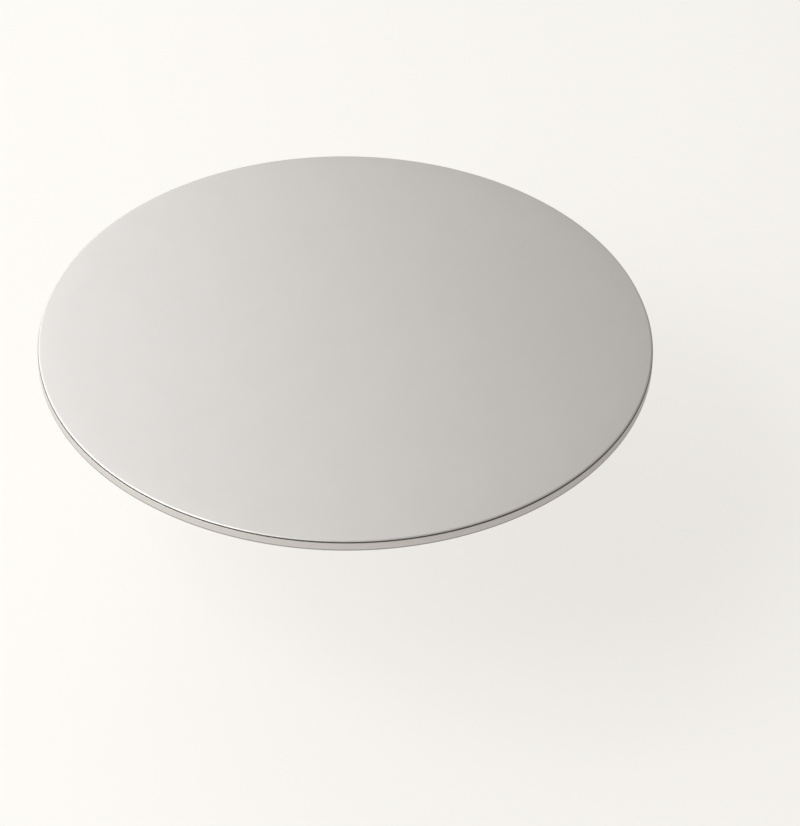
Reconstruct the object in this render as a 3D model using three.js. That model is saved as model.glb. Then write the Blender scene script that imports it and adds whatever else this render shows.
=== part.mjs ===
// Round cake board: one stiff flat disc faced with silver foil.
// Millimetres, +Z up. The origin is the centre of the face that the board rests on.
//
// The board is one piece, so its whole form is one turned section. From the underside it runs:
// backing sheet, foil turned under the edge, rounded lower edge, straight wall, the fine crease
// between the wrap of the wall and the facing, and the soft shoulder of the facing.

import * as THREE from "three";

// Driving dimensions
const BOARD_DIAMETER = 254; // across the wall, the widest ring of the board
const BOARD_THICKNESS = 5; // from the backing sheet to the flat top
const FACING_SETBACK = 0.28; // how far the edge of the facing stands in from the wall
const SHOULDER_WIDTH = 0.85; // how far in from its edge the facing starts to curve down
const SHOULDER_DROP = 0.4; // how far down the facing curves before the crease
const CREASE_HEIGHT = 0.57; // opening of the crease, from the top of the wall to the facing
const CREASE_DEPTH = 0.3; // how far the crease runs in under the facing
const LOWER_EDGE_RADIUS = 0.5; // rounding where the foil turns under the board
const TURN_IN_WIDTH = 12; // foil turned under and glued to the underside
const BACKING_STEP = 0.1; // how far the backing sheet stands proud of the turned-in foil

// Fineness of the faces
const ROUND_SEGMENTS = 180;
const ARC_DIVISIONS = 4;

// Colour and finish of the satin silver foil
const FOIL_COLOUR = 0xcac7c3;
const FOIL_ROUGHNESS = 0.45;
const FOIL_METALNESS = 1;

const QUARTER_TURN = Math.PI / 2;

// The sheet that covers the middle of the underside, and the step up to the turned-in foil
function addBackingSheet(section, wallRadius) {
  const backingRadius = wallRadius - TURN_IN_WIDTH;
  section.lineTo(backingRadius, 0);
  section.lineTo(backingRadius, BACKING_STEP);
}

// The turned-in foil, level out to the edge, and the rounding where it turns up into the wall
function addTurnIn(section, wallRadius) {
  const arcRadius = wallRadius - LOWER_EDGE_RADIUS;
  const arcHeight = BACKING_STEP + LOWER_EDGE_RADIUS;
  section.lineTo(arcRadius, BACKING_STEP);
  section.absarc(arcRadius, arcHeight, LOWER_EDGE_RADIUS, -QUARTER_TURN, 0, false);
}

// The straight wall up to its crisp top edge, then the crease: in, up, and out under the facing
function addWallAndCrease(section, wallRadius, facingRadius, facingFoot) {
  const wallTop = facingFoot - CREASE_HEIGHT;
  const creaseRadius = facingRadius - CREASE_DEPTH;
  section.lineTo(wallRadius, wallTop);
  section.lineTo(creaseRadius, wallTop);
  section.lineTo(creaseRadius, facingFoot);
  section.lineTo(facingRadius, facingFoot);
}

// The facing pressed down at its edge: a quarter of an ellipse, wider than it is high
function addShoulder(section, facingRadius, facingFoot) {
  const flatTopRadius = facingRadius - SHOULDER_WIDTH;
  section.absellipse(flatTopRadius, facingFoot, SHOULDER_WIDTH, SHOULDER_DROP, 0, QUARTER_TURN, false);
}

// The section, from the axis on the underside, out and up round the edge, and back to the axis
// on top. Its x is the distance from the axis and its y is the height.
function boardSection() {
  const wallRadius = BOARD_DIAMETER / 2;
  const facingRadius = wallRadius - FACING_SETBACK;
  const facingFoot = BOARD_THICKNESS - SHOULDER_DROP;

  const section = new THREE.Path();
  section.moveTo(0, 0);
  addBackingSheet(section, wallRadius);
  addTurnIn(section, wallRadius);
  addWallAndCrease(section, wallRadius, facingRadius, facingFoot);
  addShoulder(section, facingRadius, facingFoot);
  section.lineTo(0, BOARD_THICKNESS);
  return section;
}

// Turns the section round the vertical axis into one closed solid
function makeBoard() {
  const geometry = new THREE.LatheGeometry(boardSection().getPoints(ARC_DIVISIONS), ROUND_SEGMENTS);
  geometry.rotateX(QUARTER_TURN);
  const foil = new THREE.MeshStandardMaterial({
    color: FOIL_COLOUR,
    roughness: FOIL_ROUGHNESS,
    metalness: FOIL_METALNESS,
  });
  const board = new THREE.Mesh(geometry, foil);
  board.name = "board";
  return board;
}

const cakeBoard = new THREE.Group();
cakeBoard.name = "cake_board";
cakeBoard.add(makeBoard());

export default cakeBoard;
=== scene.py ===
# Looks of the round cake board: satin silver foil over a soft rim, a plain backing sheet under it,
# a pale floor, soft studio light and the camera. Everything is in metres.

import math

import bmesh
import bpy
from mathutils import Matrix, Vector


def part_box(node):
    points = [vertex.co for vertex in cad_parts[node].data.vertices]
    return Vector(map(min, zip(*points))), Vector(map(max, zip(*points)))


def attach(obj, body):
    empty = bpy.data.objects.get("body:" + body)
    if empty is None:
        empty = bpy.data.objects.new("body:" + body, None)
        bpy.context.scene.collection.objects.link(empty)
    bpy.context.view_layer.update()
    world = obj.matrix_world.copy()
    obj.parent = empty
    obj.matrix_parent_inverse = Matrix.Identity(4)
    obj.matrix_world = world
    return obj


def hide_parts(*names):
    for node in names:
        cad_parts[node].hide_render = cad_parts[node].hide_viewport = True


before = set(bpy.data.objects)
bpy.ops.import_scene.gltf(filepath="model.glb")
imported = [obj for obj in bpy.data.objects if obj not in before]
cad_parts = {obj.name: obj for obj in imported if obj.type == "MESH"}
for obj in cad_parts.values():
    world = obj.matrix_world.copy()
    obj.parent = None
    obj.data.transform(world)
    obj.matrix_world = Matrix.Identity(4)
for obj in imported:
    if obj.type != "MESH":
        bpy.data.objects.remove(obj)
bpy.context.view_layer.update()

MM = 0.001
QUARTER_TURN = math.pi / 2

# The board's size, from the model's box
BOARD_LOW, BOARD_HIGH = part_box("board")
WALL_RADIUS = (BOARD_HIGH.x - BOARD_LOW.x) / 2
BOARD_THICKNESS = BOARD_HIGH.z - BOARD_LOW.z

# Rim and underside, as in the model
FACING_SETBACK = 0.28 * MM  # how far the edge of the facing stands in from the wall
SHOULDER_WIDTH = 0.85 * MM  # how far in from its edge the facing starts to curve down
SHOULDER_DROP = 0.4 * MM  # how far down the facing curves before the crease
CREASE_HEIGHT = 0.57 * MM  # opening of the crease, from the top of the wall to the facing
CREASE_DEPTH = 0.3 * MM  # how far the crease runs in under the facing
LOWER_EDGE_RADIUS = 0.5 * MM  # rounding where the foil turns under the board
TURN_IN_WIDTH = 12 * MM  # foil turned under and glued to the underside
BACKING_STEP = 0.1 * MM  # how far the backing sheet stands proud of the turned-in foil

# What the turned-in foil runs between, as distances from the axis
TURN_UNDER_RADIUS = WALL_RADIUS - LOWER_EDGE_RADIUS
BACKING_RADIUS = WALL_RADIUS - TURN_IN_WIDTH

# Fine detail that the model leaves out
WALL_TOP_RADIUS = 0.1 * MM  # rounding of the wall's top edge
FOOT_SHADE_HEIGHT = 0.3 * MM  # how far the dark line of painted shade along the lower edge runs up the wall
PLEATS = 80  # small folds of the foil where it is gathered under the board
PLEAT_DEPTH = 0.05 * MM
PLEAT_RUN = 4 * MM  # how far in from the edge a pleat reaches its full depth

# Fineness of the mesh
SEGMENTS_PER_PLEAT = 6
ROUND_SEGMENTS = PLEATS * SEGMENTS_PER_PLEAT
ARC_STEPS = 10
FLAT_STEPS = 12
SHARP_ANGLE = math.radians(40)

# The board's materials, in the order of the mesh's slots
FOIL, SHADED_WRAP, SHADED_FOLD, SHADED_CREASE, BACKING = range(5)

# The foil's tones on the face, then two darker copies of it that are painted shade: a little darker on the
# wall, where it is drawn round the edge, and much darker where it folds under, for the dark line there
FOIL_DARK = (0.665, 0.655, 0.64, 1)
FOIL_LIGHT = (0.69, 0.68, 0.665, 1)
WRAP_SHADE_DARK = (0.635, 0.625, 0.615, 1)
WRAP_SHADE_LIGHT = (0.665, 0.655, 0.645, 1)
# Painted shade: a dark copy of the foil for the line along the rounded lower edge, where it folds under
FOLD_SHADE_DARK = (0.33, 0.32, 0.31, 1)
FOLD_SHADE_LIGHT = (0.37, 0.36, 0.35, 1)
FOIL_ROUGHNESS = (0.46, 0.56)
FOIL_CLOUD_SCALE = 70  # this and the other scales are in cycles a metre
FOIL_GRAIN_SCALE = 1600
FOIL_RELIEF = 0.01 * MM

# Painted shade inside the crease: dark, dull tones stand for the shade in the groove
CREASE_SHADE_DARK = (0.14, 0.13, 0.12, 1)
CREASE_SHADE_LIGHT = (0.2, 0.185, 0.17, 1)
CREASE_ROUGHNESS = (0.8, 0.95)
CREASE_GLOSS = 0.2
CREASE_FIBRE_SCALE = 900

PAPER_DARK = (0.62, 0.6, 0.56, 1)
PAPER_LIGHT = (0.72, 0.7, 0.66, 1)
PAPER_ROUGHNESS = (0.82, 0.95)
PAPER_FIBRE_SCALE = 700
PAPER_RELIEF = 0.03 * MM

# Camera: the photo's view, far off with a long lens and rolled by less than a degree
CAMERA_ELEVATION = math.radians(39.72)
CAMERA_ROLL = math.radians(0.78)
CAMERA_DISTANCE = 1.9
FRAME_WIDTH_PIXELS = 800
FRAME_HEIGHT_PIXELS = 826
BOARD_WIDTH_PIXELS = 614.3
BOARD_CENTRE_PIXELS = (345.5, 343.4)
SENSOR_WIDTH = 36  # millimetres, as the lens is

# Floor, surround and lamps
FLOOR_DROP = 0.1
FLOOR_SIZE = 14
FLOOR_COLOUR = (0.86, 0.84, 0.8, 1)
FLOOR_GLOW_SHARE = 0.7
FLOOR_GLOW_COLOUR = (0.967, 0.95, 0.915, 1)
WORLD_COLOUR = (1.0, 0.955, 0.895, 1)
WORLD_STRENGTH = 0.4
LAMP_COLOUR = (0.985, 0.99, 1.0)
KEY_PLACE = Vector((-0.5, 0.4, 0.46))
KEY_SIZE = 1.18
KEY_POWER = 5.3
FILL_PLACE = Vector((-0.85, -0.45, 0.8))
FILL_SIZE = 1.0
FILL_POWER = 12.5


def arc(centre, radii, start, end):
    """Points along an arc of a circle or ellipse, as (distance from the axis, height)."""
    points = []
    for step in range(ARC_STEPS + 1):
        angle = start + (end - start) * step / ARC_STEPS
        points.append((centre[0] + radii[0] * math.cos(angle), centre[1] + radii[1] * math.sin(angle)))
    return points


def rounding(centre, radius, start, end):
    """Points along an arc of a circle."""
    return arc(centre, (radius, radius), start, end)


def level(start, end, height):
    """Points along a level stretch between two distances from the axis, without the first one."""
    return [(start + (end - start) * (step + 1) / FLAT_STEPS, height) for step in range(FLAT_STEPS)]


def made_of(material, points):
    """Adds to each point the material of the ring of faces that leads to it."""
    return [(radius, height, material) for radius, height in points]


def underside_section():
    """The backing sheet, out from the axis, and the turned-in foil, up to the rounded edge."""
    section = made_of(BACKING, level(0, BACKING_RADIUS, 0))
    section += made_of(BACKING, [(BACKING_RADIUS, BACKING_STEP)])
    section += made_of(FOIL, level(BACKING_RADIUS, TURN_UNDER_RADIUS, BACKING_STEP)[:-1])
    return section


def wall_section(wall_top):
    """The rounded lower edge with a dark line of painted shade, then the straight wall in a slightly
    darker, painted-shade copy of the foil, and its crisp top edge.
    """
    fold_centre = (TURN_UNDER_RADIUS, BACKING_STEP + LOWER_EDGE_RADIUS)
    edge_centre = (WALL_RADIUS - WALL_TOP_RADIUS, wall_top - WALL_TOP_RADIUS)
    # painted shade: the lower edge and the foot of the wall get the dark copy of the foil
    section = made_of(SHADED_FOLD, rounding(fold_centre, LOWER_EDGE_RADIUS, -QUARTER_TURN, 0))
    section += made_of(SHADED_FOLD, [(WALL_RADIUS, fold_centre[1] + FOOT_SHADE_HEIGHT)])
    # painted shade: the wall gets a slightly darker copy of the foil
    section += made_of(SHADED_WRAP, rounding(edge_centre, WALL_TOP_RADIUS, 0, QUARTER_TURN))
    return section


def facing_section(wall_top, facing_foot):
    """The crease, then the facing's shoulder and its flat top, in to the ring next to the axis."""
    facing_radius = WALL_RADIUS - FACING_SETBACK
    crease_radius = facing_radius - CREASE_DEPTH
    flat_top_radius = facing_radius - SHOULDER_WIDTH
    shoulder = arc((flat_top_radius, facing_foot), (SHOULDER_WIDTH, SHOULDER_DROP), 0, QUARTER_TURN)
    # the crease's faces are coloured with dark painted shade
    section = made_of(SHADED_CREASE, [(crease_radius, wall_top), (crease_radius, facing_foot)])
    section += made_of(SHADED_CREASE, [(facing_radius, facing_foot)])
    section += made_of(FOIL, shoulder[1:])
    section += made_of(FOIL, level(flat_top_radius, 0, BOARD_THICKNESS)[:-1])
    return section


def board_section():
    """The whole section, from the underside round the rim to the top, without its two ends on the axis."""
    facing_foot = BOARD_THICKNESS - SHOULDER_DROP
    wall_top = facing_foot - CREASE_HEIGHT
    return underside_section() + wall_section(wall_top) + facing_section(wall_top, facing_foot)


def pleat_drop(radius, segment):
    """How far the turned-in foil sinks at this place: saw-toothed pleats that start at the rounded edge."""
    if not BACKING_RADIUS < radius < TURN_UNDER_RADIUS:
        return 0
    share_of_depth = min(1, (TURN_UNDER_RADIUS - radius) / PLEAT_RUN)
    along_pleat = (segment % SEGMENTS_PER_PLEAT) / SEGMENTS_PER_PLEAT
    return PLEAT_DEPTH * share_of_depth * (1 - along_pleat)


def add_ring(mesh, radius, height):
    """One ring of vertices; those at the level of the turned-in foil carry its pleats."""
    pleated = height == BACKING_STEP
    ring = []
    for segment in range(ROUND_SEGMENTS):
        angle = 2 * math.pi * segment / ROUND_SEGMENTS
        drop = pleat_drop(radius, segment) if pleated else 0
        ring.append(mesh.verts.new((radius * math.cos(angle), radius * math.sin(angle), height - drop)))
    return ring


def next_round(segment):
    """The segment after this one, round the board."""
    return (segment + 1) % ROUND_SEGMENTS


def add_band(mesh, first, second, material):
    """The faces between two rings."""
    for segment in range(ROUND_SEGMENTS):
        after = next_round(segment)
        face = mesh.faces.new((first[segment], first[after], second[after], second[segment]))
        face.material_index = material


def close_ring(mesh, ring, height, material):
    """The faces between a ring and a point on the axis."""
    middle = mesh.verts.new((0, 0, height))
    for segment in range(ROUND_SEGMENTS):
        face = mesh.faces.new((middle, ring[segment], ring[next_round(segment)]))
        face.material_index = material


def board_mesh():
    """Turns the section into one closed mesh with smooth rounded edges and crisp corners."""
    section = board_section()
    mesh = bmesh.new()
    rings = [add_ring(mesh, radius, height) for radius, height, _ in section]
    for first, second, (_, _, material) in zip(rings, rings[1:], section[1:]):
        add_band(mesh, first, second, material)
    close_ring(mesh, rings[0], 0, BACKING)
    close_ring(mesh, rings[-1], BOARD_THICKNESS, FOIL)
    bmesh.ops.recalc_face_normals(mesh, faces=mesh.faces)
    data = bpy.data.meshes.new("foil_board")
    mesh.to_mesh(data)
    mesh.free()
    data.shade_smooth()
    data.set_sharp_from_angle(angle=SHARP_ANGLE)
    return data


def make_board():
    """The dressed board, which stands for the model's plain one."""
    board = bpy.data.objects.new("foil_board", board_mesh())
    bpy.context.scene.collection.objects.link(board)
    materials = {
        FOIL: foil_material("foil", FOIL_DARK, FOIL_LIGHT),
        # painted shade: the wall's foil is a slightly darker copy of the face's foil
        SHADED_WRAP: foil_material("wrapped_foil_painted_shade", WRAP_SHADE_DARK, WRAP_SHADE_LIGHT),
        # painted shade: the dark line along the rounded lower edge
        SHADED_FOLD: foil_material("folded_foil_painted_shade", FOLD_SHADE_DARK, FOLD_SHADE_LIGHT),
        # painted shade: the inside of the crease is dark
        SHADED_CREASE: crease_shade_material(),
        BACKING: backing_material(),
    }
    for slot in sorted(materials):
        board.data.materials.append(materials[slot])
    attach(board, "root")
    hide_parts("board")


def new_material(name):
    """A material, its node tree and its shader."""
    material = bpy.data.materials.new(name)
    material.use_nodes = True
    shader = material.node_tree.nodes["Principled BSDF"]
    return material, material.node_tree, shader


def add_noise(tree, scale, detail, roughness=0.5):
    """Noise in the object's own space, so its scale is in cycles a metre."""
    place = tree.nodes.new("ShaderNodeTexCoord")
    noise = tree.nodes.new("ShaderNodeTexNoise")
    noise.inputs["Scale"].default_value = scale
    noise.inputs["Detail"].default_value = detail
    noise.inputs["Roughness"].default_value = roughness
    tree.links.new(place.outputs["Object"], noise.inputs["Vector"])
    return noise.outputs["Fac"]


def vary_colour(tree, shader, factor, dark, light):
    """The base colour runs between two close tones."""
    blend = tree.nodes.new("ShaderNodeMix")
    blend.data_type = "RGBA"
    blend.inputs["A"].default_value = dark
    blend.inputs["B"].default_value = light
    tree.links.new(factor, blend.inputs["Factor"])
    tree.links.new(blend.outputs["Result"], shader.inputs["Base Color"])


def vary_roughness(tree, shader, factor, low, high):
    """The roughness runs between two values."""
    spread = tree.nodes.new("ShaderNodeMapRange")
    spread.inputs["To Min"].default_value = low
    spread.inputs["To Max"].default_value = high
    tree.links.new(factor, spread.inputs["Value"])
    tree.links.new(spread.outputs["Result"], shader.inputs["Roughness"])


def add_bump(tree, shader, factor, strength, depth):
    """Fine relief of the surface."""
    bump = tree.nodes.new("ShaderNodeBump")
    bump.inputs["Strength"].default_value = strength
    bump.inputs["Distance"].default_value = depth
    tree.links.new(factor, bump.inputs["Height"])
    tree.links.new(bump.outputs["Normal"], shader.inputs["Normal"])


def foil_material(name, dark, light):
    """Satin silver foil on paper: faint clouding and the fine grain of the paper under it. Called with
    darker tones, it gives the painted-shade copies on the wall and the lower edge.
    """
    material, tree, shader = new_material(name)
    shader.inputs["Metallic"].default_value = 1
    clouds = add_noise(tree, FOIL_CLOUD_SCALE, detail=3)
    grain = add_noise(tree, FOIL_GRAIN_SCALE, detail=4)
    vary_colour(tree, shader, clouds, dark, light)
    vary_roughness(tree, shader, grain, *FOIL_ROUGHNESS)
    add_bump(tree, shader, grain, strength=0.25, depth=FOIL_RELIEF)
    return material


def crease_shade_material():
    """The inside of the crease under the shoulder: dark painted shade, dull, with faint fibres."""
    material, tree, shader = new_material("crease")
    shader.inputs["Specular IOR Level"].default_value = CREASE_GLOSS
    fibres = add_noise(tree, CREASE_FIBRE_SCALE, detail=5)
    vary_colour(tree, shader, fibres, CREASE_SHADE_DARK, CREASE_SHADE_LIGHT)
    vary_roughness(tree, shader, fibres, *CREASE_ROUGHNESS)
    return material


def backing_material():
    """Plain uncoated paper, off-white with faint fibres."""
    material, tree, shader = new_material("backing_paper")
    fibres = add_noise(tree, PAPER_FIBRE_SCALE, detail=6, roughness=0.65)
    vary_colour(tree, shader, fibres, PAPER_DARK, PAPER_LIGHT)
    vary_roughness(tree, shader, fibres, *PAPER_ROUGHNESS)
    add_bump(tree, shader, fibres, strength=0.4, depth=PAPER_RELIEF)
    return material


def add_floor_glow(tree, shader):
    """Where the camera sees the floor, part of its brightness doesn't depend on the lamps."""
    glow = tree.nodes.new("ShaderNodeEmission")
    glow.inputs["Color"].default_value = FLOOR_GLOW_COLOUR
    path = tree.nodes.new("ShaderNodeLightPath")
    share = tree.nodes.new("ShaderNodeMath")
    share.operation = "MULTIPLY"
    share.inputs[1].default_value = FLOOR_GLOW_SHARE
    blend = tree.nodes.new("ShaderNodeMixShader")
    tree.links.new(path.outputs["Is Camera Ray"], share.inputs[0])
    tree.links.new(share.outputs["Value"], blend.inputs["Fac"])
    tree.links.new(shader.outputs["BSDF"], blend.inputs[1])
    tree.links.new(glow.outputs["Emission"], blend.inputs[2])
    tree.links.new(blend.outputs["Shader"], tree.nodes["Material Output"].inputs["Surface"])


def make_floor():
    """A plain pale floor below the board."""
    bpy.ops.mesh.primitive_plane_add(size=FLOOR_SIZE, location=(0, 0, -FLOOR_DROP))
    floor = bpy.context.object
    floor.name = "floor"
    material, tree, shader = new_material("floor")
    shader.inputs["Base Color"].default_value = FLOOR_COLOUR
    shader.inputs["Roughness"].default_value = 1
    shader.inputs["Specular IOR Level"].default_value = 0
    add_floor_glow(tree, shader)
    floor.data.materials.append(material)


def make_world():
    """An even soft surround."""
    world = bpy.data.worlds.new("studio")
    bpy.context.scene.world = world
    world.use_nodes = True
    surround = world.node_tree.nodes["Background"]
    surround.inputs["Color"].default_value = WORLD_COLOUR
    surround.inputs["Strength"].default_value = WORLD_STRENGTH


def make_lamp(name, place, size, power):
    """A square soft lamp that faces the board."""
    light = bpy.data.lights.new(name, "AREA")
    light.size = size
    light.energy = power
    light.color = LAMP_COLOUR
    lamp = bpy.data.objects.new(name, light)
    lamp.location = place
    lamp.rotation_mode = "QUATERNION"
    lamp.rotation_quaternion = (-place).to_track_quat("-Z", "Y")
    lamp.visible_camera = False
    bpy.context.scene.collection.objects.link(lamp)


def make_camera():
    """Looks along +Y and down, with a slight roll. To frame the board it is moved sideways, not turned."""
    across = Vector((1, 0, 0))
    back = Vector((0, -math.cos(CAMERA_ELEVATION), math.sin(CAMERA_ELEVATION)))
    right = across * math.cos(CAMERA_ROLL) + back.cross(across) * math.sin(CAMERA_ROLL)
    up = back.cross(right)
    metres_per_pixel = 2 * WALL_RADIUS / BOARD_WIDTH_PIXELS
    right_of_board = (FRAME_WIDTH_PIXELS / 2 - BOARD_CENTRE_PIXELS[0]) * metres_per_pixel
    below_board = (FRAME_HEIGHT_PIXELS / 2 - BOARD_CENTRE_PIXELS[1]) * metres_per_pixel
    board_middle = Vector((0, 0, BOARD_THICKNESS / 2))
    aim = board_middle + right * right_of_board - up * below_board

    camera_data = bpy.data.cameras.new("camera")
    camera_data.sensor_width = SENSOR_WIDTH
    camera_data.lens = SENSOR_WIDTH * CAMERA_DISTANCE / (metres_per_pixel * FRAME_HEIGHT_PIXELS)
    camera = bpy.data.objects.new("camera", camera_data)
    camera.location = aim + back * CAMERA_DISTANCE
    camera.rotation_mode = "QUATERNION"
    camera.rotation_quaternion = Matrix((right, up, back)).transposed().to_quaternion()
    bpy.context.scene.collection.objects.link(camera)
    bpy.context.scene.camera = camera


make_camera()
make_board()
make_floor()
make_world()
make_lamp("key", KEY_PLACE, KEY_SIZE, KEY_POWER)
make_lamp("fill", FILL_PLACE, FILL_SIZE, FILL_POWER)

bpy.context.scene.view_settings.view_transform = "Standard"
